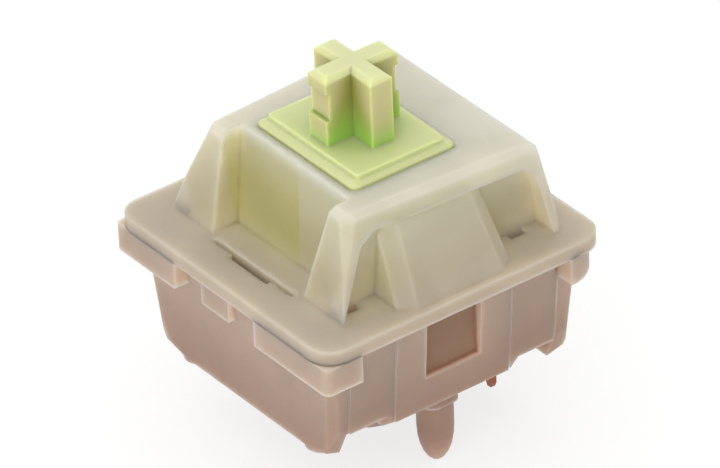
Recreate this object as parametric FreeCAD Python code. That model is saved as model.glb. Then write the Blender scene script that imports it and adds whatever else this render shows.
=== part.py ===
import FreeCAD, Part
import math
import os

# Mechanical keyboard switch with a plate flange, two plastic fixing pins and two solder pins.
# Millimetres. Z = 0 is the face of the circuit board that the switch stands on, +Z is up.
# +Y is the contact side, -Y the lamp side, and the centre post is on the Z axis.

# Flange over the plate, and the pads of the lower housing that rest on the plate
flange_side = 15.6
flange_corner = 1.2
flange_thickness = 0.7
plate_face_z = 5.0
pad_height = 1.35
pad_corner_south = 0.35
pad_corner_north = 2.0
pad_gap_west = 3.4
pad_gap_east = 2.5
pad_gap_y = 11.5

# Lower housing, a tapered tray
foot_height = 0.18
foot_spots = ((-5.73, 4.5, 0.85), (5.7, 3.65, 0.7))
base_size_x = 12.74
base_size_y = 13.2
base_corner = 0.35
corner_cut_x = 1.9
corner_cut_y = 1.1
corner_cut_slope = 4.2
rim_size_x = 13.8
rim_size_y = 14.1
rim_corner = 0.3
base_wall = 0.8
floor_thickness = 0.72
edge_relief_x = 1.0
edge_relief_z = 0.75
post_relief_x = 0.6
post_relief_z = 1.6
side_panel_width = 3.06
side_panel_depth = 0.7
side_panel_sill_z = 2.6
lug_width = 2.0
lug_height = 1.6
lug_reach = 0.3
lug_offset_x = -1.0

# Clip legs of the upper housing, in channels of the lower one
corner_post = 0.85
leg_width = 2.55
leg_bottom_z = 1.45
leg_toe = 0.45
channel_back_x = 5.78
clip_clearance = 0.05
catch_width = 1.3
catch_reach = 0.36
catch_height = 1.1
catch_z = 2.5
tool_notch_depth = 1.4

# Board interfaces
post_r = 2.0
post_length = 3.1
post_chamfer = 0.45
fixing_pin_r = 0.85
fixing_pin_spacing = 10.16
fixing_pin_straight = 1.2
fixing_pin_nose_steps = 6
fixing_pin_root = 0.05
fixing_pin_root_corner = 0.5
lamp_lead_r = 0.5
lamp_lead_pitch = 2.54
lamp_y = -5.08

# Upper housing above the flange, as half widths at its south and north edges
shell_top_z = 11.55
shell_wall = 0.8
foot_south_y = -6.15
foot_north_y = 6.5
foot_south_half = 6.35
foot_north_half = 6.5
shoulder_drop = 0.8
shoulder_south_y = -4.62
shoulder_north_y = 5.85
shoulder_south_half = 5.3
shoulder_north_half = 5.95
crown_drop = 0.22
crown_inset = 0.16
top_inset = 0.5
shell_corner = 0.35
cavity_half_x = 4.3

# Sloping side panels of the upper housing and the pockets beside them
panel_top_x = 5.37
panel_top_drop = 0.75
panel_foot_x = 7.66
panel_foot_rise = 0.2
panel_top_half = 1.95
panel_foot_half = 2.4
panel_bevel_width = 0.75
panel_bevel_depth = 0.55
pocket_back_x = 5.15
pocket_top_drop = 0.95
pocket_corner = 0.6
fin_thickness = 0.55
fin_root = 0.35
vent_length = 0.9
vent_width = 0.45
vent_y = 4.6

# Lamp recess on the south side of the upper housing
lamp_foot_half = 3.35
lamp_top_half = 3.95
lamp_wall_top = 0.45
lamp_wall_foot = 1.3
lamp_slot_half = 2.95
lamp_slot_width = 0.28
lamp_slot_y = -5.83
lamp_notch_half = 1.45
lamp_notch_reach = 0.4

# Stem
stem_clearance = 0.1
slider_size_x = 7.16
slider_size_y = 5.66
slider_corner = 0.35
slider_bottom_z = 6.2
rim_top_drop = 0.36
plateau_z = 12.0
plateau_size_x = 6.56
plateau_size_y = 4.82
plateau_slope = 0.2
cross_top_z = 15.5
cross_length_x = 4.1
cross_length_y = 4.0
cross_bar_x = 1.2
cross_bar_y = 1.3
cross_chamfer = 0.22
cross_relief = 0.18
cross_relief_from = 1.3
cross_relief_to = 2.7
travel = 4.0
rail_half_y = 0.8
rail_reach = 0.57
stop_gap = 0.1
guide_pole_r = 1.0
guide_pole_length = 4.2
guide_clearance = 0.08
pole_tip_chamfer = 0.3
actuator_inner_x = 2.0
actuator_width = 0.8
actuator_reach = 0.92
actuator_drop = 1.1
actuator_ramp = 0.08
guide_rib_width = 0.6

# Return spring
spring_mid_r = 2.05
spring_wire_r = 0.11
spring_coils = 11
spring_steps = 12
spring_wire_sides = 6
spring_seat_gap = 0.03
spring_chamber_r = 2.42
spring_chamber_roof = 1.1
tube_wall = 0.55
tube_top_z = 4.0

# Contacts, blanked from sheet
sheet = 0.25
leaf_sheet = 0.12
pin_width = 0.5
pin_length = 2.8
pin_taper = 0.25
pin_slot_clearance = 0.05
fixed_pin_x = -3.81
fixed_pin_y = 2.54
moving_pin_x = 2.54
moving_pin_y = 5.08
fixed_strip_y = 3.98
fixed_strip_z = 1.2
fixed_strip_height = 2.0
fixed_tab_half = 1.0
contact_z = 6.4
contact_margin = 0.4
point_half = 0.45
point_thickness = 0.12
moving_point_thickness = 0.17
leaf_gap = 0.055
leaf_half = 2.8
leaf_foot_z = 1.15
leaf_bar = 1.45
leaf_head_bar = 0.6
leaf_tongue_half = 0.7
nose_z = 5.7
nose_rise = 0.9
nose_gap = 0.05
carrier_height = 1.3
carrier_half = 2.5
support_width = 0.7
support_height = 2.1

# Levels and walls that follow from the sizes above
leg_outer_y = base_size_y / 2 - corner_post
leg_inner_y = leg_outer_y - leg_width
seam_z = plate_face_z + pad_height
flange_top_z = seam_z + flange_thickness
floor_z = foot_height + floor_thickness
shoulder_z = shell_top_z - shoulder_drop
roof_z = shell_top_z - shell_wall
opening_half_x = slider_size_x / 2 + stem_clearance
opening_half_y = slider_size_y / 2 + stem_clearance
tray_half_x = channel_back_x - base_wall
bore_r = guide_pole_r + guide_clearance
tube_r = bore_r + tube_wall
pole_tip_z = slider_bottom_z - guide_pole_length
bore_bottom_z = pole_tip_z - travel - 0.3
far = flange_side


def vec(x, y, z):
    return FreeCAD.Vector(x, y, z)


def box(x0, x1, y0, y1, z0, z1):
    """Block between two corners."""
    return Part.makeBox(x1 - x0, y1 - y0, z1 - z0, vec(x0, y0, z0))


def outline(corners, radius, z):
    """Closed level wire through the corners, each rounded by an arc."""
    edges = []
    count = len(corners)
    ends = []
    for i in range(count):
        corner = vec(corners[i][0], corners[i][1], z)
        before = vec(corners[i - 1][0], corners[i - 1][1], z) - corner
        after = vec(corners[(i + 1) % count][0], corners[(i + 1) % count][1], z) - corner
        half_angle = before.getAngle(after) / 2
        before.normalize()
        after.normalize()
        reach = radius / math.tan(half_angle)
        start = corner + before * reach
        end = corner + after * reach
        inward = (before + after).normalize()
        middle = corner + inward * (radius / math.sin(half_angle) - radius)
        ends.append((start, middle, end))
    for i in range(count):
        start, middle, end = ends[i]
        edges.append(Part.Arc(start, middle, end).toShape())
        edges.append(Part.LineSegment(end, ends[(i + 1) % count][0]).toShape())
    return Part.Wire(edges)


def rectangle(half_x, half_y, radius, z):
    """Rounded level rectangle about the Z axis."""
    corners = [(-half_x, -half_y), (half_x, -half_y), (half_x, half_y), (-half_x, half_y)]
    return outline(corners, radius, z)


def trapezium(south_y, north_y, south_half, north_half, z):
    """Sharp level outline that may be wider at its north edge."""
    corners = [(-south_half, south_y), (south_half, south_y), (north_half, north_y), (-north_half, north_y)]
    return Part.makePolygon([vec(x, y, z) for x, y in corners + [corners[0]]])


def loft(wires):
    """Solid with straight sides between level outlines."""
    return Part.makeLoft(wires, True, True)


def slab(wire, height):
    """Solid raised from a level outline."""
    return Part.Face(wire).extrude(vec(0, 0, height))


def profile_y(points, y0, y1):
    """Solid with an (x, z) section, drawn out along Y."""
    wire = Part.makePolygon([vec(x, y0, z) for x, z in points] + [vec(points[0][0], y0, points[0][1])])
    return Part.Face(wire).extrude(vec(0, y1 - y0, 0))


def profile_x(points, x0, x1):
    """Solid with a (y, z) section, drawn out along X."""
    wire = Part.makePolygon([vec(x0, y, z) for y, z in points] + [vec(x0, points[0][0], points[0][1])])
    return Part.Face(wire).extrude(vec(x1 - x0, 0, 0))


def east_west(shape):
    """The shape and its mirror image across the plane X = 0."""
    return [shape, shape.mirror(vec(0, 0, 0), vec(1, 0, 0))]


def four_corners(shape):
    """The shape mirrored to all four corners."""
    pair = east_west(shape)
    return pair + [each.mirror(vec(0, 0, 0), vec(0, 1, 0)) for each in pair]


def joined(body, pieces):
    """The body with each piece fused to it in turn."""
    for piece in pieces:
        body = body.fuse(piece)
    return body


def without(body, cutters):
    """The body with each cutter taken out of it in turn."""
    for cutter in cutters:
        body = body.cut(cutter)
    return body


def trimmed(body, a, b, c):
    """The body without what lies outside the plane through three points."""
    normal = (b - a).cross(c - a)
    inside = vec(0, 0, seam_z) - a
    if normal.dot(inside) > 0:
        normal = normal * -1
    waste = Part.makeBox(4 * far, 4 * far, 2 * far, vec(-2 * far, -2 * far, 0))
    waste.Placement = FreeCAD.Placement(a, FreeCAD.Rotation(vec(0, 0, 1), normal))
    return body.cut(waste)


def tray_form():
    """Outside of the lower housing, wider towards its rim, with its lower corners cut off."""
    low_x = base_size_x / 2
    low_y = base_size_y / 2
    high_x = rim_size_x / 2
    high_y = rim_size_y / 2
    body = loft([trapezium(-low_y, low_y, low_x, low_x, foot_height),
                 trapezium(-high_y, high_y, high_x, high_x, seam_z)])
    for side in (-1, 1):
        for end in (-1, 1):
            body = trimmed(body, vec(side * (low_x - base_corner), end * low_y, foot_height),
                           vec(side * low_x, end * (low_y - base_corner), foot_height),
                           vec(side * (high_x - rim_corner), end * high_y, seam_z))
            body = trimmed(body, vec(side * (low_x - corner_cut_x), end * low_y, foot_height),
                           vec(side * low_x, end * (low_y - corner_cut_y), foot_height),
                           vec(side * low_x, end * low_y, foot_height + corner_cut_x / corner_cut_slope))
    return body


def fixing_pin():
    """Round pin with a bullet nose, from inside the floor down to the level of the centre post."""
    nose = post_length - fixing_pin_straight
    points = [vec(0, 0, floor_z), vec(fixing_pin_r, 0, floor_z)]
    for i in range(fixing_pin_nose_steps):
        angle = math.pi / 2 * i / fixing_pin_nose_steps
        points.append(vec(fixing_pin_r * math.cos(angle), 0, -fixing_pin_straight - nose * math.sin(angle)))
    points += [vec(points[-1].x / 2, 0, -post_length), vec(0, 0, -post_length), points[0]]
    pin = Part.Face(Part.makePolygon(points)).revolve(vec(0, 0, 0), vec(0, 0, 1), 360)
    pin.translate(vec(fixing_pin_spacing / 2, 0, 0))
    return pin


def plate_pads():
    """Four corner pads that rest on the plate, the north pair with rounder corners."""
    half = flange_side / 2
    south = slab(rectangle(half, half, pad_corner_south, plate_face_z), pad_height)
    south = south.common(box(-far, far, -far, -pad_gap_y / 2, plate_face_z, seam_z))
    north = slab(rectangle(half, half, pad_corner_north, plate_face_z), pad_height)
    north = north.common(box(-far, far, pad_gap_y / 2, far, plate_face_z, seam_z))
    gap = box(-pad_gap_west, pad_gap_east, -far, far, plate_face_z, seam_z)
    return south.fuse(north).cut(gap)


def leg_channel(clearance):
    """Room of one clip leg in the north-east of the tray, with the clearance on each side."""
    return box(channel_back_x, far, leg_inner_y - clearance, leg_outer_y + clearance, -far, seam_z)


def side_catch():
    """Wedge on the back of a channel, flat below, that holds a clip leg down."""
    middle = (leg_inner_y + leg_outer_y) / 2
    section = [
        (channel_back_x - base_wall / 2, catch_z),
        (channel_back_x + catch_reach, catch_z),
        (channel_back_x, catch_z + catch_height),
        (channel_back_x - base_wall / 2, catch_z + catch_height),
    ]
    return profile_y(section, middle - catch_width / 2, middle + catch_width / 2)


def pin_slot(x, y, half_x, half_y):
    """Slot in the floor for a solder pin."""
    grow = pin_slot_clearance
    return box(x - half_x - grow, x + half_x + grow, y - half_y - grow, y + half_y + grow, -far, far)


def bottom_housing():
    """Tray with pads, channels, centre post, fixing pins and the guides inside it."""
    body = tray_form().fuse(plate_pads())

    # Long bottom edges are cut back, and the tool notches open under the legs
    half = base_size_x / 2
    relief = [(half - edge_relief_x, foot_height), (far, foot_height), (far, foot_height + edge_relief_z),
              (half, foot_height + edge_relief_z)]
    taper = (rim_size_x - base_size_x) / 2 / (seam_z - foot_height)
    post_relief = [(half - post_relief_x, foot_height), (far, foot_height),
                   (far, foot_height + post_relief_z), (half + taper * post_relief_z, foot_height + post_relief_z)]
    notch = [(channel_back_x - tool_notch_depth, foot_height), (far, foot_height),
             (far, foot_height + edge_relief_z), (channel_back_x, foot_height + edge_relief_z)]
    cutters = east_west(profile_y(relief, -leg_inner_y, leg_inner_y))
    cutters += four_corners(profile_y(post_relief, leg_outer_y, far))
    cutters += four_corners(profile_y(notch, leg_inner_y - clip_clearance, leg_outer_y + clip_clearance))
    cutters += four_corners(leg_channel(clip_clearance))

    # Sunk panel in the middle of the east and west sides
    panel = box(rim_size_x / 2 - side_panel_depth, far, -side_panel_width / 2, side_panel_width / 2,
                side_panel_sill_z, seam_z)
    cutters += east_west(panel)
    body = without(body, cutters)

    # Inside of the tray
    low_y = base_size_y / 2 - base_wall
    high_y = rim_size_y / 2 - base_wall
    body = body.cut(loft([trapezium(-low_y, low_y, tray_half_x, tray_half_x, floor_z),
                          trapezium(-high_y, high_y, tray_half_x, tray_half_x, seam_z)]))

    # Feet, plate lugs and catches outside
    added = []
    for foot_y, foot_x, foot_r in foot_spots:
        added += east_west(Part.makeCylinder(foot_r, (floor_z + foot_height) / 2, vec(foot_x, foot_y, 0)))
    lug = box(lug_offset_x - lug_width / 2, lug_offset_x + lug_width / 2, rim_size_y / 2 - base_wall,
              rim_size_y / 2 + lug_reach, seam_z - lug_height, seam_z)
    added += [lug, lug.mirror(vec(0, 0, 0), vec(0, 1, 0))]
    added += four_corners(side_catch())

    # Centre post, tube over it and fixing pins
    post = Part.makeCylinder(post_r, post_length + floor_z, vec(0, 0, -post_length))
    rims = [edge for edge in post.Edges if abs(edge.BoundBox.ZMax + post_length) < 0.01]
    added.append(post.makeChamfer(post_chamfer, rims))
    added.append(Part.makeCylinder(tube_r, tube_top_z, vec(0, 0, 0)))
    added += east_west(fixing_pin())
    root_half = fixing_pin_r + fixing_pin_root
    root = slab(rectangle(root_half, root_half, fixing_pin_root_corner, foot_height), floor_thickness)
    root.translate(vec(fixing_pin_spacing / 2, 0, 0))
    added += east_west(root)

    # Ribs that guide the rails of the stem, and supports behind the moving contact
    rib_x = slider_size_x / 2 + stem_clearance
    rib_y = rail_half_y + stem_clearance
    added += four_corners(box(rib_x, tray_half_x, rib_y, rib_y + guide_rib_width, floor_z / 2, seam_z))
    support_y = moving_pin_y + sheet / 2
    support = box(carrier_half - support_width, carrier_half, support_y, base_size_y / 2 - base_wall / 2,
                  floor_z / 2, floor_z + support_height)
    added += east_west(support)
    body = joined(body, added)

    # Bore of the guide pole, lamp lead holes and solder pin slots
    holes = [Part.makeCylinder(bore_r, far, vec(0, 0, bore_bottom_z))]
    holes += east_west(Part.makeCylinder(lamp_lead_r, far, vec(lamp_lead_pitch / 2, lamp_y, -far / 2)))
    holes.append(pin_slot(fixed_pin_x, fixed_pin_y, sheet / 2, pin_width / 2))
    holes.append(pin_slot(moving_pin_x, moving_pin_y, pin_width / 2, sheet / 2))
    return without(body, holes).removeSplitter()


def shell_form():
    """Outside of the upper housing above its flange, with its top edge bevelled twice."""
    halves = []
    lean = (shoulder_north_half - shoulder_south_half) / (shoulder_north_y - shoulder_south_y)
    middle = shoulder_south_half - lean * shoulder_south_y
    ends = [(shoulder_south_y, foot_south_y, shoulder_south_half, foot_south_half),
            (shoulder_north_y, foot_north_y, shoulder_north_half, foot_north_half)]
    for end_y, foot_y, end_half, foot_half in ends:
        foot_middle = foot_half - lean * foot_y
        half = loft([trapezium(0, foot_y, foot_middle, foot_half, flange_top_z),
                     trapezium(0, end_y, middle, end_half, shoulder_z)])
        top = slab(trapezium(0, end_y, middle, end_half, shoulder_z), shoulder_drop)
        halves.append(half.fuse(top))
    body = halves[0].fuse(halves[1]).removeSplitter()

    # Bevels round the top, each from one level and inset to the next
    levels = [(shoulder_z, 0.0), (shell_top_z - crown_drop, crown_inset), (shell_top_z, top_inset)]
    for (low_z, low_in), (high_z, high_in) in zip(levels, levels[1:]):
        for end_y, inward in [(shoulder_north_y, -1), (shoulder_south_y, 1)]:
            body = trimmed(body, vec(0, end_y + inward * low_in, low_z), vec(1, end_y + inward * low_in, low_z),
                           vec(0, end_y + inward * high_in, high_z))
        for side in (-1, 1):
            body = trimmed(body, vec(side * (middle - low_in), 0, low_z),
                           vec(side * (middle + lean - low_in), 1, low_z),
                           vec(side * (middle - high_in), 0, high_z))

    # Flats down the four corner ridges
    for end_y, foot_y, end_half, foot_half in ends:
        inward = -math.copysign(shell_corner, foot_y)
        for side in (-1, 1):
            body = trimmed(body, vec(side * (foot_half - shell_corner), foot_y, flange_top_z),
                           vec(side * foot_half, foot_y + inward, flange_top_z),
                           vec(side * (end_half - shell_corner), end_y, shoulder_z))
    return body


def side_pocket():
    """Hollow in the east side, between the fins at the south and north corners."""
    top = shell_top_z - pocket_top_drop
    corners = [
        (foot_south_y + fin_thickness, flange_top_z),
        (foot_north_y - fin_thickness, flange_top_z),
        (shoulder_north_y - fin_thickness, top),
        (shoulder_south_y + fin_thickness + fin_root, top),
    ]
    cut = profile_x(corners, pocket_back_x, far)
    upper = [edge for edge in cut.Edges
             if edge.BoundBox.XLength > 1 and abs(edge.BoundBox.ZMin - top) < 0.01]
    return cut.makeChamfer(pocket_corner, upper)


def panel_level(z, inset):
    """Level outline of the east panel at a height, moved inwards by the inset."""
    top = shell_top_z - panel_top_drop
    foot = seam_z + panel_foot_rise
    share = (z - foot) / (top - foot)
    face = panel_foot_x + (panel_top_x - panel_foot_x) * share - inset
    half = panel_foot_half + (panel_top_half - panel_foot_half) * share - inset / 2
    back = cavity_half_x
    side = half + panel_bevel_width
    cheek = face - panel_bevel_depth
    points = [(back, -side), (cheek, -side), (face, -half), (face, half), (cheek, side), (back, side)]
    return Part.makePolygon([vec(x, y, z) for x, y in points + [points[0]]])


def lamp_recess():
    """Open recess in the south side, from the flange up through the top face."""
    slope = (lamp_top_half - lamp_foot_half) / (shell_top_z - flange_top_z)
    above = 1.0
    high = lamp_top_half + slope * above
    section = [(-lamp_foot_half, flange_top_z), (lamp_foot_half, flange_top_z),
               (high, shell_top_z + above), (-high, shell_top_z + above)]
    opening = profile_y(section, -far, 0)
    wall = [(far, flange_top_z), (-opening_half_y - lamp_wall_foot, flange_top_z),
            (-opening_half_y - lamp_wall_top, shell_top_z), (-opening_half_y - lamp_wall_top, far),
            (far, far)]
    return opening.cut(profile_x(wall, -far, far))


def clip_leg():
    """North-east clip leg, flush with the tapered tray, with a toe and a hollow for its catch."""
    inner = leg_inner_y + clip_clearance
    outer = leg_outer_y - clip_clearance
    side = [(inner, leg_bottom_z - leg_toe), (inner + leg_toe, leg_bottom_z), (outer, leg_bottom_z),
            (outer, far), (inner, far)]
    room = profile_x(side, channel_back_x + clip_clearance, far)
    leg = tray_form().common(room)
    middle = (leg_inner_y + leg_outer_y) / 2
    half = catch_width / 2 + 2 * clip_clearance
    hollow = box(channel_back_x, channel_back_x + catch_reach + 2 * clip_clearance, middle - half,
                 middle + half, catch_z - clip_clearance, catch_z + catch_height + 2 * clip_clearance)
    return leg.cut(hollow)


def top_housing():
    """Cover with flange, sloping panels, pockets, lamp recess and four clip legs."""
    shell = without(shell_form(), east_west(side_pocket()))
    flange = slab(rectangle(flange_side / 2, flange_side / 2, flange_corner, seam_z), flange_thickness)
    panel_top = shell_top_z - panel_top_drop
    panel = loft([panel_level(seam_z + panel_foot_rise, 0), panel_level(panel_top, 0)])
    body = joined(shell, [flange] + east_west(panel))
    body = body.cut(lamp_recess())

    # Hollow of the cover over stem and contacts, and behind each panel
    room_south = -opening_half_y
    low = trapezium(room_south, foot_north_y - shell_wall, cavity_half_x, cavity_half_x, seam_z)
    high = trapezium(room_south, shoulder_north_y - shell_wall, cavity_half_x, cavity_half_x, roof_z)
    behind_panel = loft([panel_level(seam_z, shell_wall), panel_level(roof_z - shell_wall, shell_wall)])
    opening = slab(rectangle(opening_half_x, opening_half_y, slider_corner, seam_z), far)
    body = without(body, [loft([low, high]), opening] + east_west(behind_panel))

    # Slot in the floor of the lamp recess, and a vent in the floor of each pocket
    slot = box(-lamp_slot_half, lamp_slot_half, lamp_slot_y - lamp_slot_width / 2,
               lamp_slot_y + lamp_slot_width / 2, 0, far)
    notch = box(-lamp_notch_half, lamp_notch_half, lamp_slot_y - lamp_notch_reach, lamp_slot_y, 0, far)
    vent = box(pocket_back_x, pocket_back_x + vent_width, vent_y - vent_length / 2,
               vent_y + vent_length / 2, 0, flange_top_z)
    body = without(body, [slot, notch] + four_corners(vent))
    return joined(body, four_corners(clip_leg())).removeSplitter()


def cross_bar(length_x, length_y):
    """One bar of the cross, chamfered around its top."""
    bar = box(-length_x / 2, length_x / 2, -length_y / 2, length_y / 2, plateau_z - plateau_slope,
              cross_top_z)
    rims = [edge for edge in bar.Edges if edge.BoundBox.ZMin > cross_top_z - 0.01]
    return bar.makeChamfer(cross_chamfer, rims)


def actuator():
    """East leg of the stem that holds the contact leaf off, receding upwards."""
    face = slider_size_y / 2
    low = slider_bottom_z - actuator_drop
    head = nose_z + travel + nose_rise
    tip = face + actuator_reach
    section = [
        (face - base_wall / 2, low),
        (tip - actuator_ramp, low),
        (tip, low + 2 * actuator_ramp),
        (tip, nose_z),
        (tip - actuator_ramp * (head - nose_z), head),
        (face - base_wall / 2, head),
    ]
    return profile_x(section, actuator_inner_x, actuator_inner_x + actuator_width)


def stem():
    """Slider with cross, rails, guide pole and the two legs that work the contact."""
    half_x = slider_size_x / 2
    half_y = slider_size_y / 2
    rim_z = plateau_z - rim_top_drop
    block = loft([rectangle(half_x, half_y, slider_corner, slider_bottom_z),
                  rectangle(half_x, half_y, slider_corner, rim_z)])
    bevel = loft([rectangle(half_x, half_y, slider_corner, rim_z),
                  rectangle(plateau_size_x / 2, plateau_size_y / 2, slider_corner / 2,
                            plateau_z - plateau_slope),
                  rectangle(plateau_size_x / 2, plateau_size_y / 2, slider_corner / 2, plateau_z)])
    rail_top = roof_z - stop_gap
    rail = box(0, half_x + rail_reach, -rail_half_y, rail_half_y, slider_bottom_z, rail_top)
    long_bar = cross_bar(cross_length_x, cross_bar_x)
    short_bar = cross_bar(cross_bar_y, cross_length_y)
    relief = box(-far, far, cross_length_y / 2 - cross_relief, far, plateau_z + cross_relief_from,
                 plateau_z + cross_relief_to)
    short_bar = short_bar.cut([relief, relief.mirror(vec(0, 0, 0), vec(0, 1, 0))])
    body = joined(block, [bevel, long_bar, short_bar] + east_west(rail) + east_west(actuator()))

    # Chamber of the return spring, with the guide pole down its middle
    chamber_top = plateau_z - spring_chamber_roof
    chamber = Part.makeCylinder(spring_chamber_r, chamber_top, vec(0, 0, 0))
    body = body.cut(chamber)
    pole = Part.makeCylinder(guide_pole_r, chamber_top + plateau_slope - pole_tip_z, vec(0, 0, pole_tip_z))
    tip = [edge for edge in pole.Edges if abs(edge.BoundBox.ZMax - pole_tip_z) < 0.01]
    pole = pole.makeChamfer(pole_tip_chamfer, tip)
    return body.fuse(pole).removeSplitter()


def return_spring():
    """Compression spring with ground ends, between the tray floor and the roof of the stem."""
    low = floor_z + spring_seat_gap
    high = plateau_z - spring_chamber_roof - spring_seat_gap
    steps = spring_coils * spring_steps
    sections = []
    for i in range(steps + 1):
        turn = 2 * math.pi * i / spring_steps
        height = low + (high - low) * i / steps
        points = []
        for j in range(spring_wire_sides + 1):
            angle = 2 * math.pi * j / spring_wire_sides
            r = spring_mid_r + spring_wire_r * math.cos(angle)
            points.append(vec(r * math.cos(turn), r * math.sin(turn),
                              height + spring_wire_r * math.sin(angle)))
        sections.append(Part.makePolygon(points))
    ends = box(-far, far, -far, far, low, high)
    return loft(sections).common(ends)


def blanked_pin(x, y, along_x, top):
    """Flat solder pin with a tapered end, as wide along X or along Y."""
    half = pin_width / 2
    section = [(-half, top), (-half, -pin_length + pin_taper), (-half + pin_taper / 2, -pin_length),
               (half - pin_taper / 2, -pin_length), (half, -pin_length + pin_taper), (half, top)]
    if along_x:
        shifted = [(x + u, z) for u, z in section]
        return profile_y(shifted, y - sheet / 2, y + sheet / 2)
    shifted = [(y + u, z) for u, z in section]
    return profile_x(shifted, x - sheet / 2, x + sheet / 2)


def fixed_contact_terminal():
    """Strip bent round the corner of the stem, from its solder pin to the tab at the contact."""
    front = fixed_strip_y + sheet / 2
    back = fixed_strip_y - sheet / 2
    west = fixed_pin_x - sheet / 2
    top = fixed_strip_z + fixed_strip_height
    cheek = box(west, west + sheet, fixed_pin_y - pin_width / 2, front, floor_z, top)
    strip = box(west, fixed_tab_half, back, front, fixed_strip_z, top)
    tab = box(-fixed_tab_half, fixed_tab_half, back, front, top, contact_z + contact_margin)
    pin = blanked_pin(fixed_pin_x, fixed_pin_y, False, floor_z)
    return pin.fuse([cheek, strip, tab]).removeSplitter()


def fixed_contact_point():
    """Contact prism welded on the tab."""
    front = fixed_strip_y + sheet / 2
    return box(-point_half, point_half, front, front + point_thickness, contact_z - point_thickness,
               contact_z + point_thickness)


leaf_back_y = moving_pin_y - sheet / 2 - leaf_gap
leaf_front_y = leaf_back_y - leaf_sheet


def moving_contact_terminal():
    """Carrier plate of the contact leaf, standing on the floor, with its solder pin."""
    plate = box(-carrier_half, moving_pin_x + pin_width, moving_pin_y - sheet / 2,
                moving_pin_y + sheet / 2, floor_z, floor_z + carrier_height)
    return plate.fuse(blanked_pin(moving_pin_x, moving_pin_y, True, floor_z)).removeSplitter()


def leaf_nose():
    """East arm's bend towards the stem."""
    tip = slider_size_y / 2 + actuator_reach + nose_gap
    rise = leaf_sheet * 1.4
    section = [
        (leaf_front_y, nose_z - nose_rise),
        (tip, nose_z - leaf_sheet / 2),
        (tip, nose_z + leaf_sheet / 2),
        (leaf_front_y, nose_z + nose_rise),
        (leaf_back_y, nose_z + nose_rise),
        (leaf_front_y, nose_z + nose_rise - rise),
        (tip + leaf_sheet, nose_z),
        (leaf_front_y, nose_z - nose_rise + rise),
        (leaf_back_y, nose_z - nose_rise),
    ]
    return profile_x(section, actuator_inner_x, leaf_half)


def moving_contact_leaf():
    """Thin spring frame with two bent arms and a middle tongue for the contact."""
    head = contact_z + contact_margin + leaf_sheet
    frame = box(-leaf_half, leaf_half, leaf_front_y, leaf_back_y, leaf_foot_z, head)
    low = leaf_foot_z + leaf_bar
    windows = east_west(box(leaf_tongue_half, actuator_inner_x, leaf_front_y, leaf_back_y, low,
                            head - leaf_head_bar))
    behind_nose = east_west(box(actuator_inner_x, leaf_half, leaf_front_y, leaf_back_y,
                                nose_z - nose_rise, nose_z + nose_rise))
    frame = frame.cut(windows + behind_nose)
    return frame.fuse(east_west(leaf_nose())).removeSplitter()


def moving_contact_point():
    """Contact prism welded on the tongue of the leaf."""
    return box(-point_thickness, point_thickness, leaf_front_y - moving_point_thickness, leaf_front_y,
               contact_z - point_half, contact_z + point_half)


os.makedirs("parts", exist_ok=True)
pieces = {
    "bottom_housing": bottom_housing(),
    "top_housing": top_housing(),
    "stem": stem(),
    "return_spring": return_spring(),
    "fixed_contact_terminal": fixed_contact_terminal(),
    "fixed_contact_point": fixed_contact_point(),
    "moving_contact_terminal": moving_contact_terminal(),
    "moving_contact_leaf": moving_contact_leaf(),
    "moving_contact_point": moving_contact_point(),
}
for name, shape in pieces.items():
    shape.exportStep("parts/" + name + ".step")
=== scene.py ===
import math

import bmesh
import bpy
from mathutils import Matrix, Quaternion, Vector


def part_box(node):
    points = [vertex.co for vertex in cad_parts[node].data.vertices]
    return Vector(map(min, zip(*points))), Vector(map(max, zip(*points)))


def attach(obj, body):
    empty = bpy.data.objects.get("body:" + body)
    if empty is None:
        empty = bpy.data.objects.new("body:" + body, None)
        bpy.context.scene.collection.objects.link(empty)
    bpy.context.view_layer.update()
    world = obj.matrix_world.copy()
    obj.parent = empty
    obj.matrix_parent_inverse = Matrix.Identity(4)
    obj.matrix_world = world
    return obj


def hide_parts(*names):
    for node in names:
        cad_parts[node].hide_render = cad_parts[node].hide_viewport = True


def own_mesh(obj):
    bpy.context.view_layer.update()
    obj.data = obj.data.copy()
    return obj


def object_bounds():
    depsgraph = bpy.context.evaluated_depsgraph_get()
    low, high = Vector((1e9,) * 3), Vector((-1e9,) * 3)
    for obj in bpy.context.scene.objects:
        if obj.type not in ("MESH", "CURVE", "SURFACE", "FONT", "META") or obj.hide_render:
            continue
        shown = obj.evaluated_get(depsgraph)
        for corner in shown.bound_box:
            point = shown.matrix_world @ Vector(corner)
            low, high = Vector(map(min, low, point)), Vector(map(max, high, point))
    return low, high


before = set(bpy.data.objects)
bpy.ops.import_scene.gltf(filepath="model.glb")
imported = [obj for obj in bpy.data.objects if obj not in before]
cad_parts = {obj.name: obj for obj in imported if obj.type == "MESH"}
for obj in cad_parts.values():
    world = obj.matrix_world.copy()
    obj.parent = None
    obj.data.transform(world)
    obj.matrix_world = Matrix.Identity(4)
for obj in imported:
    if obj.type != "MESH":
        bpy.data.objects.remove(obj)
cad_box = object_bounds()

# ---------------------------------------------------------------- top housing
# The cover of the switch is one shell of milky nylon, moulded with the collar,
# the four sloping sides and the long clip legs in one shot. It snaps over the
# base, and the green of the stem inside is painted into its thin walls, as the
# light that would come through them.

MM = 0.001

# Heights above the board between which the nylon is painted lighter upwards, a painted shade that is darkest low
# down
base_shading = (0.0, 6.0 * MM)
seam_shading = (5.6 * MM, 7.4 * MM)
cover_shading = (8.0 * MM, 11.5 * MM)

# Half sizes of the stem, and the distances from it between which its painted green fades out in the walls
stem_half = (3.6 * MM, 2.85 * MM, 12 * MM)
stem_glow = (0.1 * MM, 5.0 * MM)
glow_foot = (5.8 * MM, 8.0 * MM)
glow_crown = (11.5 * MM, 10.9 * MM)
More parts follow.
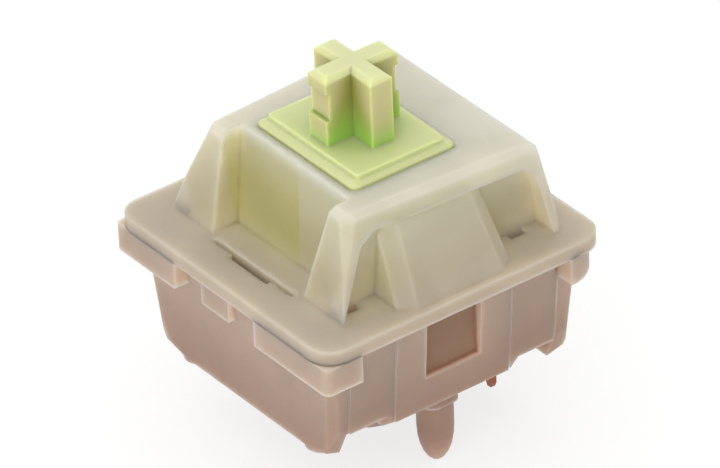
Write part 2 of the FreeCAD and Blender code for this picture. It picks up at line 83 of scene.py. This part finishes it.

# West part of the recess wall, where more of the painted green shows: its slanted edge, its depth and its fade
recess_slant = 0.232
recess_edge = (2.98 * MM, 2.82 * MM)
recess_front = (-4.6 * MM, -4.3 * MM)
recess_back = (-3.2 * MM, -3.4 * MM)
recess_fade = (11.4 * MM, 9.0 * MM)

# Sunk side panels of the base: their depth, half width and top
panel_inner = (6.1 * MM, 6.18 * MM)
panel_outer = (6.4 * MM, 6.3 * MM)
panel_half = (1.62 * MM, 1.5 * MM)
panel_top = (6.5 * MM, 6.3 * MM)

# Reach of the painted light along edges and in corners, and the sizes of the patterns in the nylon
edge_light_reach = 0.5 * MM
edge_light_foot = (4 * MM, 7 * MM)
corner_reach = 2.0 * MM
cloud_size = 3 * MM
nylon_grain = 0.12 * MM
nylon_edge = 0.3 * MM
nylon_scatter = 2.0 * MM
grain_depth = 0.01 * MM


def linear(hex_code):
    """The linear colour of an sRGB hex code."""
    parts = [int(hex_code[i:i + 2], 16) / 255 for i in (0, 2, 4)]
    return tuple(p / 12.92 if p <= 0.04045 else ((p + 0.055) / 1.055) ** 2.4 for p in parts) + (1.0,)


def add(material, kind, inputs=None, **settings):
    """Adds a node to a material, with its settings, and its inputs as values or links."""
    made = material.node_tree.nodes.new(kind)
    for name, value in settings.items():
        setattr(made, name, value)
    for name, value in (inputs or {}).items():
        if isinstance(value, bpy.types.NodeSocket):
            material.node_tree.links.new(value, made.inputs[name])
        else:
            made.inputs[name].default_value = value
    return made


def blank(name):
    """A node material with only its output left in it."""
    material = bpy.data.materials.new(name)
    material.use_nodes = True
    material.node_tree.nodes.clear()
    return material, add(material, "ShaderNodeOutputMaterial")


def painted(node_name, material):
    """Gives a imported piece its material."""
    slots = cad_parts[node_name].data.materials
    slots.clear()
    slots.append(material)


def linked(name, mesh):
    """A new object in the scene from a mesh."""
    made = bpy.data.objects.new(name, mesh)
    bpy.context.scene.collection.objects.link(made)
    return made


def ranged(material, value, start, end, low=0.0, high=1.0):
    """A smooth step of a value, from low at the start to high at the end."""
    return add(material, "ShaderNodeMapRange", {
        "Value": value, "From Min": start, "From Max": end, "To Min": low, "To Max": high},
        interpolation_type="SMOOTHSTEP").outputs["Result"]


def product(material, factors):
    """The product of several values."""
    result = factors[0]
    for factor in factors[1:]:
        step = add(material, "ShaderNodeMath", {0: result, 1: factor}, operation="MULTIPLY")
        result = step.outputs["Value"]
    return result


def mixed(material, factor, first, second):
    """A blend of two colours."""
    blend = add(material, "ShaderNodeMix", {"Factor": factor, "A": first, "B": second}, data_type="RGBA")
    return blend.outputs["Result"]


def noise(material, place, size, **inputs):
    """Soft noise with patches of about the given size."""
    return add(material, "ShaderNodeTexNoise", {"Vector": place, "Scale": 1 / size, **inputs}).outputs["Fac"]


def grained(material, place, size, edge):
    """A normal with rounded edges and spark-eroded mould grain."""
    grain = noise(material, place, size, Detail=2.0)
    rounded = add(material, "ShaderNodeBevel", {"Radius": edge}, samples=8).outputs["Normal"]
    return add(material, "ShaderNodeBump", {
        "Height": grain, "Strength": 0.1, "Distance": grain_depth, "Normal": rounded}).outputs["Normal"]


def milky_nylon(name, clearness):
    """Milky nylon: satin and cloudy, with painted light along edges and in corners, painted shade that makes it
    darker and browner low down, and the painted green of the stem where it is near.
    """
    material, output = blank(name)
    place = add(material, "ShaderNodeTexCoord").outputs["Object"]
    spot = add(material, "ShaderNodeSeparateXYZ", {"Vector": place}).outputs
    # Painted shade by height: darker and browner low down, paler towards the top, where more light falls.
    body = mixed(material, ranged(material, spot["Z"], *base_shading), linear("9F8374"), linear("B39F90"))
    body = mixed(material, ranged(material, spot["Z"], *seam_shading), body, linear("B9AF9E"))
    body = mixed(material, ranged(material, spot["Z"], *cover_shading), body, linear("D6D3C7"))

    # Painted light: the green of the stem is painted into the walls that stand close to it, as if seen through
    # them, most where the lamp recess is deepest.
    spread = add(material, "ShaderNodeVectorMath", {0: place}, operation="ABSOLUTE").outputs["Vector"]
    beyond = add(material, "ShaderNodeVectorMath", {0: spread, 1: stem_half}, operation="SUBTRACT")
    gap = add(material, "ShaderNodeVectorMath", {0: beyond.outputs["Vector"], 1: (0, 0, 0)},
              operation="MAXIMUM").outputs["Vector"]
    gap = add(material, "ShaderNodeVectorMath", {0: gap}, operation="LENGTH").outputs["Value"]
    above_seam = ranged(material, spot["Z"], *glow_foot)
    near_stem = product(material, [above_seam, ranged(material, spot["Z"], *glow_crown, 0.3, 1.0),
                                   ranged(material, gap, *stem_glow, 0.55, 0.0)])
    slant = add(material, "ShaderNodeMath", {0: spot["Z"], 1: recess_slant, 2: spot["X"]},
                operation="MULTIPLY_ADD").outputs["Value"]
    recess = product(material, [
        above_seam, ranged(material, slant, *recess_edge),
        ranged(material, spot["Y"], *recess_front), ranged(material, spot["Y"], *recess_back),
        ranged(material, spot["Z"], *recess_fade, 0.1, 0.45)])
    painted_stem_glow = add(material, "ShaderNodeMath", {0: near_stem, 1: recess}, operation="ADD").outputs["Value"]
    body = mixed(material, painted_stem_glow, body, linear("B3AD72"))

    # Painted shade: the sunk side panels of the base are thin, and the dark inside is painted through them in
    # brown.
    reach = add(material, "ShaderNodeSeparateXYZ", {"Vector": spread}).outputs
    panel_painted_shade = product(material, [
        ranged(material, reach["X"], *panel_inner), ranged(material, reach["X"], *panel_outer),
        ranged(material, reach["Y"], *panel_half), ranged(material, spot["Z"], *panel_top, 0.0, 0.75)])
    body = mixed(material, panel_painted_shade, body, linear("8E6A4E"))

    # Painted light: edges are painted paler, standing in for light that leaves the nylon on both sides of them.
    depth = add(material, "ShaderNodeAmbientOcclusion", {"Distance": edge_light_reach}, samples=8, inside=True)
    painted_edge_light = product(material, [ranged(material, depth.outputs["AO"], 0.6, 0.1, 0.0, 0.2),
                              ranged(material, spot["Z"], *edge_light_foot, 0.3, 1.0)])
    body = mixed(material, painted_edge_light, body, linear("E0DACE"))

    # Painted light lifts the colour in the corners where little falls from outside, standing in for light that
    #     # wanders inside the nylon, and the filler flows through it in cloudy patches.
    open_sky = add(material, "ShaderNodeAmbientOcclusion", {"Distance": corner_reach}, samples=8)
    cloud = noise(material, place, cloud_size, Detail=3.0, Roughness=0.55)
    shade = product(material, [ranged(material, cloud, 0.3, 0.7, 0.94, 1.03),
                               ranged(material, open_sky.outputs["AO"], 1.0, 0.2, 1.0, 1.6)])
    tinted = add(material, "ShaderNodeVectorMath", {0: body, 1: shade}, operation="MULTIPLY")

    shader = add(material, "ShaderNodeBsdfPrincipled", {
        "Base Color": tinted.outputs["Vector"], "Roughness": 0.45, "IOR": 1.53, "Transmission Weight": clearness,
        "Subsurface Weight": 1.0, "Subsurface Radius": (1.0, 0.93, 0.8), "Subsurface Scale": nylon_scatter,
        "Specular IOR Level": 0.3, "Normal": grained(material, place, nylon_grain, nylon_edge)})
    material.node_tree.links.new(shader.outputs["BSDF"], output.inputs["Surface"])
    return material


painted("top_housing", milky_nylon("milky_nylon_cover", 0.2))

# ------------------------------------------------------------- bottom housing
# The base is a deep tray of the same milky nylon, thicker and further from the
# light, so it is painted darker and pinker towards the board as painted shade.
# The centre post and the two fixing pins are moulded with it.

painted("bottom_housing", milky_nylon("milky_nylon_base", 0.15))

# ----------------------------------------------------------------------- stem
# The stem is moulded in pale green acetal, smooth and slightly waxy. Its inner
# corners are painted a darker, stronger green, painted shade with the light that
# bounces between its walls, less so on the flat plateau below the cross, and the
# top of the cross is painted lighter.

stem_corner_reach = 2.2 * MM
rim_level = (11.8 * MM, 11.95 * MM)
plateau_level = (12.0 * MM, 12.1 * MM)
cross_foot = (12.0 * MM, 13.0 * MM)
cross_shadow = (12.2 * MM, 14.2 * MM)
cross_top = (15.1 * MM, 15.4 * MM)
acetal_grain = 0.2 * MM
acetal_edge = 0.25 * MM
acetal_scatter = 1.0 * MM

acetal, output = blank("green_acetal")
place = add(acetal, "ShaderNodeTexCoord").outputs["Object"]
corner = add(acetal, "ShaderNodeAmbientOcclusion", {"Distance": stem_corner_reach}, samples=8).outputs["AO"]
height = add(acetal, "ShaderNodeSeparateXYZ", {"Vector": place}).outputs["Z"]
# Painted shade: the inner corners above the plateau are painted a darker, stronger green, and the top of the
# cross is painted a lighter tone.
painted_corner_green = mixed(acetal, ranged(acetal, height, *cross_shadow), linear("94B954"), linear("8B8E38"))
acetal_tone_and_top_light = mixed(acetal, ranged(acetal, height, *cross_foot), linear("C3C992"), linear("BBB687"))
acetal_tone_and_top_light = mixed(acetal, ranged(acetal, height, *cross_top), acetal_tone_and_top_light, linear("C9CB9C"))
painted_corner_shade = product(acetal, [ranged(acetal, height, *plateau_level, 0.2, 1.0), ranged(acetal, corner, 0.95, 0.55),
                        ranged(acetal, height, *rim_level)])
shader = add(acetal, "ShaderNodeBsdfPrincipled", {
    "Base Color": mixed(acetal, painted_corner_shade, acetal_tone_and_top_light, painted_corner_green), "Roughness": 0.4, "IOR": 1.48, "Subsurface Weight": 1.0,
    "Subsurface Radius": (0.8, 1.0, 0.4), "Subsurface Scale": acetal_scatter,
    "Normal": grained(acetal, place, acetal_grain, acetal_edge)})
acetal.node_tree.links.new(shader.outputs["BSDF"], output.inputs["Surface"])
painted("stem", acetal)

# -------------------------------------------------------------- return spring
# A compression spring of drawn steel wire stands on the tray floor round the
# bore and pushes up under the stem. Its two end turns lie closed, and the turns
# between them are open.

low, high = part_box("return_spring")
wire_radius = 0.1 * MM
wire_sides = 12
coil_radius = high.x - wire_radius
closed_turns = 1.0
open_turns = 10
turn_steps = 36
spring_height = high.z - low.z - 2 * wire_radius
closed_pitch = 2 * wire_radius
open_pitch = (spring_height - 2 * closed_turns * closed_pitch) / open_turns

spring_form = bmesh.new()
bmesh.ops.create_circle(spring_form, cap_ends=False, segments=wire_sides, radius=wire_radius)
bmesh.ops.rotate(spring_form, verts=spring_form.verts, cent=(0, 0, 0),
                 matrix=Matrix.Rotation(math.pi / 2, 3, "X"))
bmesh.ops.translate(spring_form, verts=spring_form.verts, vec=(coil_radius, 0, low.z + wire_radius))
ring = list(spring_form.verts) + list(spring_form.edges)
for turns, pitch in ((closed_turns, closed_pitch), (open_turns, open_pitch), (closed_turns, closed_pitch)):
    turned = bmesh.ops.spin(spring_form, geom=ring, cent=(0, 0, 0), axis=(0, 0, 1),
                            dvec=(0, 0, pitch / turn_steps), angle=2 * math.pi * turns,
                            steps=int(turns * turn_steps), use_merge=False, use_duplicate=False)
    ring = turned["geom_last"]
bmesh.ops.holes_fill(spring_form, edges=[e for e in spring_form.edges if e.is_boundary], sides=0)
bmesh.ops.recalc_face_normals(spring_form, faces=spring_form.faces)
for face in spring_form.faces:
    face.smooth = len(face.verts) == 4
spring_mesh = bpy.data.meshes.new("spring_wire")
spring_form.to_mesh(spring_mesh)
spring_form.free()
spring = linked("spring_wire", spring_mesh)

wire, output = blank("drawn_spring_steel")
place = add(wire, "ShaderNodeTexCoord").outputs["Object"]
film = noise(wire, place, 0.8 * MM, Detail=3.0)
steel = mixed(wire, film, linear("9E9A94"), linear("C4C1BC"))
satin = add(wire, "ShaderNodeMapRange", {"Value": film, "To Min": 0.22, "To Max": 0.38}).outputs["Result"]
shader = add(wire, "ShaderNodeBsdfPrincipled", {"Base Color": steel, "Metallic": 1.0, "Roughness": satin})
wire.node_tree.links.new(shader.outputs["BSDF"], output.inputs["Surface"])
spring_mesh.materials.append(wire)
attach(spring, "housing")
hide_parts("return_spring")
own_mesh(spring)

# ------------------------------------------------------ terminals and contacts
# The two terminals and the leaf are stamped from rolled copper alloy sheet, dull
# brown where air has reached them. The contact points are small bars of plated
# metal, brighter and more yellow.

film_size = 0.9 * MM
satin_range = 0.18


def rolled_metal(name, dark, bright, rough):
    """Rolled and stamped sheet metal, with a thin uneven film on it."""
    material, output = blank(name)
    place = add(material, "ShaderNodeTexCoord").outputs["Object"]
    film = noise(material, place, film_size, Detail=4.0, Roughness=0.6)
    tone = mixed(material, film, dark, bright)
    satin = add(material, "ShaderNodeMapRange", {
        "Value": film, "To Min": rough, "To Max": rough + satin_range}).outputs["Result"]
    shader = add(material, "ShaderNodeBsdfPrincipled", {"Base Color": tone, "Metallic": 1.0, "Roughness": satin})
    material.node_tree.links.new(shader.outputs["BSDF"], output.inputs["Surface"])
    return material


copper_sheet = rolled_metal("rolled_copper_alloy", linear("7E4B38"), linear("B47358"), 0.32)
contact_plating = rolled_metal("plated_contact", linear("B59A5C"), linear("D8C07E"), 0.2)
for name in ("fixed_contact_terminal", "moving_contact_terminal", "moving_contact_leaf"):
    painted(name, copper_sheet)
for name in ("fixed_contact_point", "moving_contact_point"):
    painted(name, contact_plating)

# ------------------------------------------------------------ floor and lamps
# The switch stands on the tips of its pins on a plain white floor that runs on
# to the horizon, under one broad lamp, with a small one low at its near corner
# and a pale room round it.

floor_half = 3.0
floor_glow = 0.75
room_strength = 0.95
lamps = (("lamp_above", (-0.08, -0.05, 0.42), 0.70, 0.9), ("lamp_side", (0.22, -0.28, 0.12), 0.30, 0.42))

floor_form = bmesh.new()
bmesh.ops.create_grid(floor_form, x_segments=1, y_segments=1, size=floor_half)
bmesh.ops.translate(floor_form, verts=floor_form.verts, vec=(0, 0, cad_box[0].z))
floor_mesh = bpy.data.meshes.new("floor")
floor_form.to_mesh(floor_mesh)
floor_form.free()
floor = linked("floor", floor_mesh)


def background_seen(owner):
    """1 for rays that show the background, straight or in metal and glass, and 0 for light on the switch."""
    path = add(owner, "ShaderNodeLightPath").outputs
    shown = add(owner, "ShaderNodeMath", {0: path["Is Camera Ray"], 1: path["Is Glossy Ray"]},
                operation="ADD").outputs["Value"]
    return add(owner, "ShaderNodeMath", {0: shown, 1: path["Is Transmission Ray"]}, operation="ADD",
               use_clamp=True).outputs["Value"]


paper, output = blank("white_paper")
share = product(paper, [background_seen(paper), floor_glow])
sheet = add(paper, "ShaderNodeBsdfDiffuse", {"Color": linear("F8F8F8")})
glow = add(paper, "ShaderNodeEmission", {"Color": linear("FFFFFF"), "Strength": 1.0})
blend = add(paper, "ShaderNodeMixShader", {0: share, 1: sheet.outputs["BSDF"], 2: glow.outputs["Emission"]})
paper.node_tree.links.new(blend.outputs["Shader"], output.inputs["Surface"])
floor_mesh.materials.append(paper)

world = bpy.data.worlds.new("pale_room")
bpy.context.scene.world = world
world.use_nodes = True
world.node_tree.nodes.clear()
room_output = add(world, "ShaderNodeOutputWorld")
room = add(world, "ShaderNodeBackground", {"Color": linear("FBFAF8"), "Strength": room_strength})
white = add(world, "ShaderNodeBackground", {"Color": linear("FFFFFF"), "Strength": 1.0})
blend = add(world, "ShaderNodeMixShader", {0: background_seen(world), 1: room.outputs["Background"],
                                           2: white.outputs["Background"]})
world.node_tree.links.new(blend.outputs["Shader"], room_output.inputs["Surface"])

for name, place, size, watts in lamps:
    lamp_data = bpy.data.lights.new(name, "AREA")
    lamp_data.size = size
    lamp_data.energy = watts
    lamp = linked(name, lamp_data)
    lamp.location = place
    lamp.rotation_mode = "QUATERNION"
    lamp.rotation_quaternion = Vector(place).to_track_quat("Z", "Y")

# --------------------------------------------------------------------- camera
# The camera stands 54 degrees round from the lamp side and looks down at 34
# degrees, far enough away that the sides hardly converge.

azimuth, elevation, roll = math.radians(54.07), math.radians(33.52), math.radians(-2.48)
target_height = 6.28 * MM
distance_mm = 391.6

level = math.cos(elevation)
back = Vector((math.sin(azimuth) * level, -math.cos(azimuth) * level, math.sin(elevation)))
camera_data = bpy.data.cameras.new("camera")
camera_data.sensor_width = 36
camera_data.lens = 441.4
camera_data.clip_start = 0.01
camera_data.clip_end = 20
camera = linked("camera", camera_data)
camera.location = Vector((0, 0, target_height)) + back * distance_mm * MM
camera.rotation_mode = "QUATERNION"
camera.rotation_quaternion = back.to_track_quat("Z", "Y") @ Quaternion((0, 0, 1), roll)
bpy.context.scene.camera = camera
bpy.context.scene.view_settings.view_transform = "Standard"
